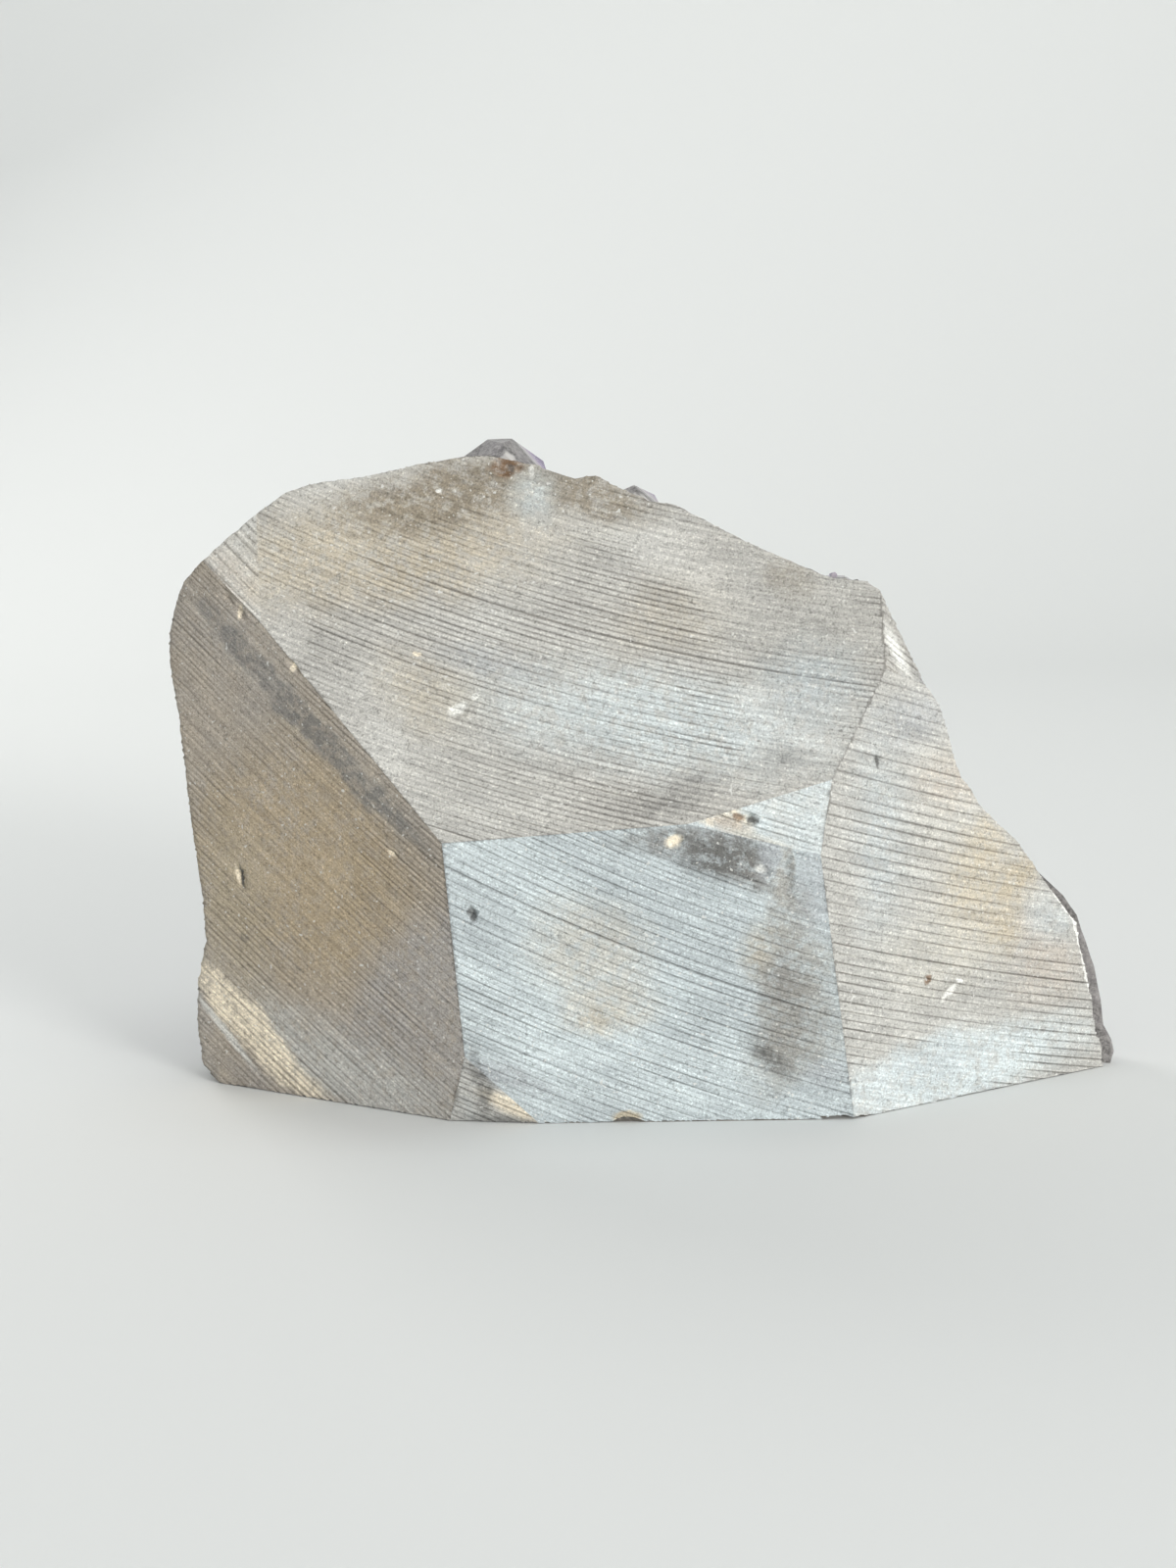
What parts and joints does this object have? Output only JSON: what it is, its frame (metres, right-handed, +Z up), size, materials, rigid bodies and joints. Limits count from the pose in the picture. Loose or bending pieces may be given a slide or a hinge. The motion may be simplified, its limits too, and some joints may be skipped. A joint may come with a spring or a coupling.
{
  "type": "amethyst cluster",
  "caption": "slab of grey geode wall with saw-marked flat back and base, standing on its base, with a crust of pointed amethyst crystals over its far face",
  "frame": {"origin": "middle of the bounding box in x and y, on the sawn base at z = 0", "axes": "+Z up, +X along the width to the right seen from the sawn side, +Y from the sawn back to the crystals"},
  "size_m": [0.2212, 0.0815, 0.1524],
  "materials": {
    "wall_rock": "grey volcanic rock, sawn, with fine parallel grooves, stands in for stone",
    "amethyst": "purple see-through crystals on a pale quartz foot, flat shiny faces"
  },
  "bodies": {
    "root": {"wall_rock": "wall_rock", "amethyst_crystals": "amethyst"}
  },
  "joints": []
}
